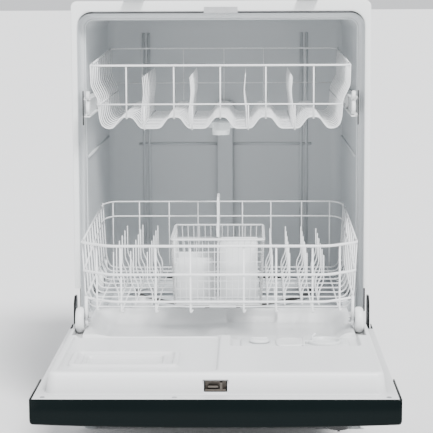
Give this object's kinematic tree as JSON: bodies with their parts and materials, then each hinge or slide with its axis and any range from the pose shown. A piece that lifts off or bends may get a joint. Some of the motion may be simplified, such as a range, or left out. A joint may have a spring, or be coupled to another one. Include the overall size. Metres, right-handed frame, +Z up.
{
  "type": "built in dishwasher",
  "caption": "Built-in dishwasher with a drop-down door, wire racks, a cutlery basket, spray arms and a steel under-frame.",
  "frame": {"origin": "on the floor, midway between the open door's front edge and the back of the under-frame, on the centre plane", "axes": "+Z up, the front faces -Y, +X is to the viewer's right when facing the front"},
  "size_m": [0.6, 1.275, 0.8657],
  "materials": {
    "tub_plastic": "fine moulded grain, satin",
    "liner_plastic": "smooth moulded, satin",
    "moulded_white": "smooth moulded",
    "coated_wire": "vinyl-coated wire, soft gloss",
    "basket_plastic": "moulded lattice, satin",
    "seal_rubber": "grey moulded rubber",
    "galvanised_steel": "zinc-coated sheet",
    "pin_steel": "plain turned steel",
    "black_enamel": "semi-gloss black enamel",
    "console_black": "glossy black",
    "black_plastic": "matte black",
    "blanket_felt": "dark bitumen-faced felt",
    "grey_plastic": "moulded grey",
    "pump_metal": "cast and ribbed",
    "heater_sheath": "oxidised sheath",
    "dispenser_plastic": "moulded pale grey",
    "latch_metal": "stamped, dull",
    "spray_arm_plastic": "moulded pale grey"
  },
  "bodies": {
    "cabinet": {"tub": "tub_plastic", "door_gasket": "seal_rubber", "strike_plate": "galvanised_steel", "base_frame": "galvanised_steel", "levelling_feet": "grey_plastic", "toe_kick": "black_enamel", "access_panel": "black_enamel", "countertop_brackets": "galvanised_steel", "insulation_blanket": "blanket_felt", "sump": "grey_plastic", "filter": "grey_plastic", "wash_pump": "pump_metal", "drain_pump": "grey_plastic", "inlet_valve": "grey_plastic", "junction_box": "galvanised_steel", "heater_element": "heater_sheath", "feed_tube": "grey_plastic", "tub_rollers": "moulded_white", "hinge_pins": "pin_steel", "balance_springs": "pin_steel"},
    "door": {"outer_door_panel": "black_enamel", "console": "console_black", "door_liner": "liner_plastic", "hinge_arms": "black_enamel", "dispenser_body": "dispenser_plastic", "latch": "latch_metal", "door_screws": "pin_steel"},
    "detergent_lid": {"detergent_lid": "moulded_white"},
    "rinse_cap": {"rinse_cap": "dispenser_plastic"},
    "latch_handle": {"latch_handle": "console_black"},
    "selector_dial": {"selector_dial": "console_black"},
    "button_1": {"button_1": "console_black"},
    "button_2": {"button_2": "console_black"},
    "button_3": {"button_3": "console_black"},
    "float": {"float": "moulded_white"},
    "lower_spray_arm": {"lower_spray_arm": "spray_arm_plastic"},
    "upper_rails": {"upper_rails": "moulded_white", "rail_end_caps": "black_plastic"},
    "upper_rack": {"upper_rack_floor": "coated_wire", "upper_rack_front": "coated_wire", "upper_rack_back": "coated_wire", "upper_rack_left": "coated_wire", "upper_rack_right": "coated_wire", "upper_rack_tines": "coated_wire", "upper_rack_wheels": "moulded_white"},
    "upper_spray_arm": {"upper_spray_arm": "spray_arm_plastic"},
    "front_axle": {"front_axle_pins": "pin_steel"},
    "lower_rack": {"lower_rack_floor": "coated_wire", "lower_rack_front": "coated_wire", "lower_rack_back": "coated_wire", "lower_rack_left": "coated_wire", "lower_rack_right": "coated_wire", "lower_rack_tines": "coated_wire", "rear_axle_pins": "pin_steel"},
    "wheel_front_left": {"wheel_front_left": "moulded_white"},
    "wheel_front_right": {"wheel_front_right": "moulded_white"},
    "wheel_rear_left": {"wheel_rear_left": "moulded_white"},
    "wheel_rear_right": {"wheel_rear_right": "moulded_white"},
    "basket": {"silverware_basket": "basket_plastic", "basket_handle": "basket_plastic"}
  },
  "joints": [
    {"name": "door_hinge", "type": "hinge", "parent": "cabinet", "child": "door", "pos_m": [0, 0.0115, 0.205], "axis": [-1, 0, 0], "range_deg": [0, 90]},
    {"name": "front_axle_slide", "type": "slide", "parent": "door", "child": "front_axle", "axis": [0, 1, 0], "range_m": [0, 0.168]},
    {"name": "lower_rack_level", "type": "hinge", "parent": "front_axle", "child": "lower_rack", "pos_m": [0, -0.2315, 0.281], "axis": [1, 0, 0], "range_deg": [0, 90.5]},
    {"name": "upper_rails_slide", "type": "slide", "parent": "cabinet", "child": "upper_rails", "axis": [0, 1, 0], "range_m": [0, 0.141]},
    {"name": "upper_rack_slide", "type": "slide", "parent": "upper_rails", "child": "upper_rack", "axis": [0, 1, 0], "range_m": [-0.16, 0]},
    {"name": "upper_spray_arm_spin", "type": "hinge", "parent": "upper_rack", "child": "upper_spray_arm", "pos_m": [0, 0.1955, 0.607], "axis": [0, 0, 1], "continuous": true},
    {"name": "lower_spray_arm_spin", "type": "hinge", "parent": "cabinet", "child": "lower_spray_arm", "pos_m": [0, 0.3275, 0.253], "axis": [0, 0, 1], "continuous": true},
    {"name": "basket_lift", "type": "slide", "parent": "lower_rack", "child": "basket", "axis": [0, 0, 1], "range_m": [0, 0.1]},
    {"name": "detergent_lid_hinge", "type": "hinge", "parent": "door", "child": "detergent_lid", "pos_m": [0.1515, -0.3395, 0.2632], "axis": [0, 1, 0], "range_deg": [0, 110]},
    {"name": "rinse_cap_turn", "type": "hinge", "parent": "door", "child": "rinse_cap", "pos_m": [0.073, -0.3345, 0.261], "axis": [0, 0, 1], "range_deg": [0, 90]},
    {"name": "latch_handle_pull", "type": "hinge", "parent": "door", "child": "latch_handle", "pos_m": [0, -0.6135, 0.1866], "axis": [-1, 0, 0], "range_deg": [0, 22], "stiffness_Nm_per_rad": 0.5, "springref_deg": -11.46},
    {"name": "selector_dial_turn", "type": "hinge", "parent": "door", "child": "selector_dial", "pos_m": [0.2, -0.5895, 0.175], "axis": [0, 0, 1], "continuous": true},
    {"name": "float_rise", "type": "slide", "parent": "cabinet", "child": "float", "axis": [0, 0, 1], "range_m": [0, 0.012]},
    {"name": "button_1_press", "type": "slide", "parent": "door", "child": "button_1", "axis": [0, 0, 1], "range_m": [0, 0.002], "stiffness_N_per_m": 300, "springref_m": -0.001},
    {"name": "button_2_press", "type": "slide", "parent": "door", "child": "button_2", "axis": [0, 0, 1], "range_m": [0, 0.002], "stiffness_N_per_m": 300, "springref_m": -0.001},
    {"name": "button_3_press", "type": "slide", "parent": "door", "child": "button_3", "axis": [0, 0, 1], "range_m": [0, 0.002], "stiffness_N_per_m": 300, "springref_m": -0.001},
    {"name": "wheel_front_left_spin", "type": "hinge", "parent": "lower_rack", "child": "wheel_front_left", "pos_m": [-0.256, -0.2315, 0.281], "axis": [1, 0, 0], "continuous": true},
    {"name": "wheel_front_right_spin", "type": "hinge", "parent": "lower_rack", "child": "wheel_front_right", "pos_m": [0.256, -0.2315, 0.281], "axis": [1, 0, 0], "continuous": true},
    {"name": "wheel_rear_left_spin", "type": "hinge", "parent": "lower_rack", "child": "wheel_rear_left", "pos_m": [-0.256, 0.1875, 0.281], "axis": [1, 0, 0], "continuous": true},
    {"name": "wheel_rear_right_spin", "type": "hinge", "parent": "lower_rack", "child": "wheel_rear_right", "pos_m": [0.256, 0.1875, 0.281], "axis": [1, 0, 0], "continuous": true}
  ],
  "couplings": [
    {"joint": "front_axle_slide", "follows": "door_hinge", "m_per_rad": 0.10632},
    {"joint": "lower_rack_level", "follows": "door_hinge", "ratio": 1},
    {"joint": "upper_rails_slide", "follows": "door_hinge", "m_per_rad": 0.089127}
  ]
}
